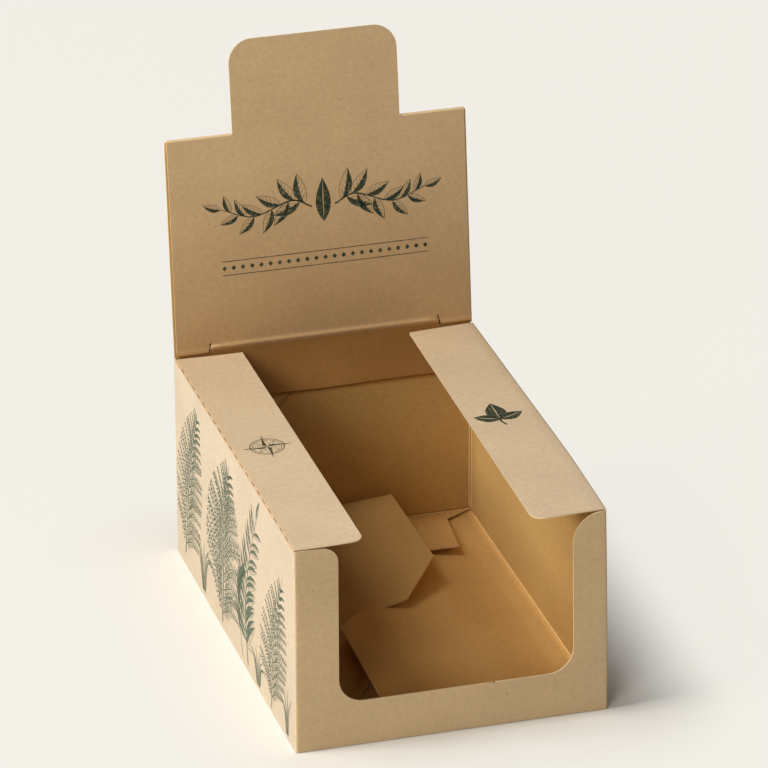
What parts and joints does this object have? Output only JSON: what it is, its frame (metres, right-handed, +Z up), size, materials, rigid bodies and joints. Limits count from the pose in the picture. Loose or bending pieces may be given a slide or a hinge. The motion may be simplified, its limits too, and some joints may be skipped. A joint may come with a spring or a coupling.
{
  "type": "counter display box",
  "caption": "Folded kraft board counter display box with a cut-out front, hinged top flaps, a locking floor and a raised double header with a tab.",
  "frame": {"origin": "on the ground, under the middle of the whole outline from the front wall to the top of the tab", "axes": "+Z up, -Y towards the cut-out front, +X to the viewer's right when facing the front"},
  "size_m": [0.13, 0.201, 0.2227],
  "materials": {
    "kraft_board": "matt brown solid kraft board with fine fibres and specks",
    "kraft_flap": "matt brown solid kraft board with fine fibres and specks",
    "dark_ink": "flat dark green print"
  },
  "bodies": {
    "carton": {"carton": "kraft_board"},
    "left_flap": {"left_top_flap": "kraft_flap"},
    "right_flap": {"right_top_flap": "kraft_flap"}
  },
  "joints": [
    {"name": "left_flap_hinge", "type": "hinge", "parent": "carton", "child": "left_flap", "pos_m": [-0.065, -0.00701, 0.08925], "axis": [0, -1, 0], "range_deg": [0, 180]},
    {"name": "right_flap_hinge", "type": "hinge", "parent": "carton", "child": "right_flap", "pos_m": [0.065, -0.00701, 0.08925], "axis": [0, 1, 0], "range_deg": [0, 180]}
  ]
}
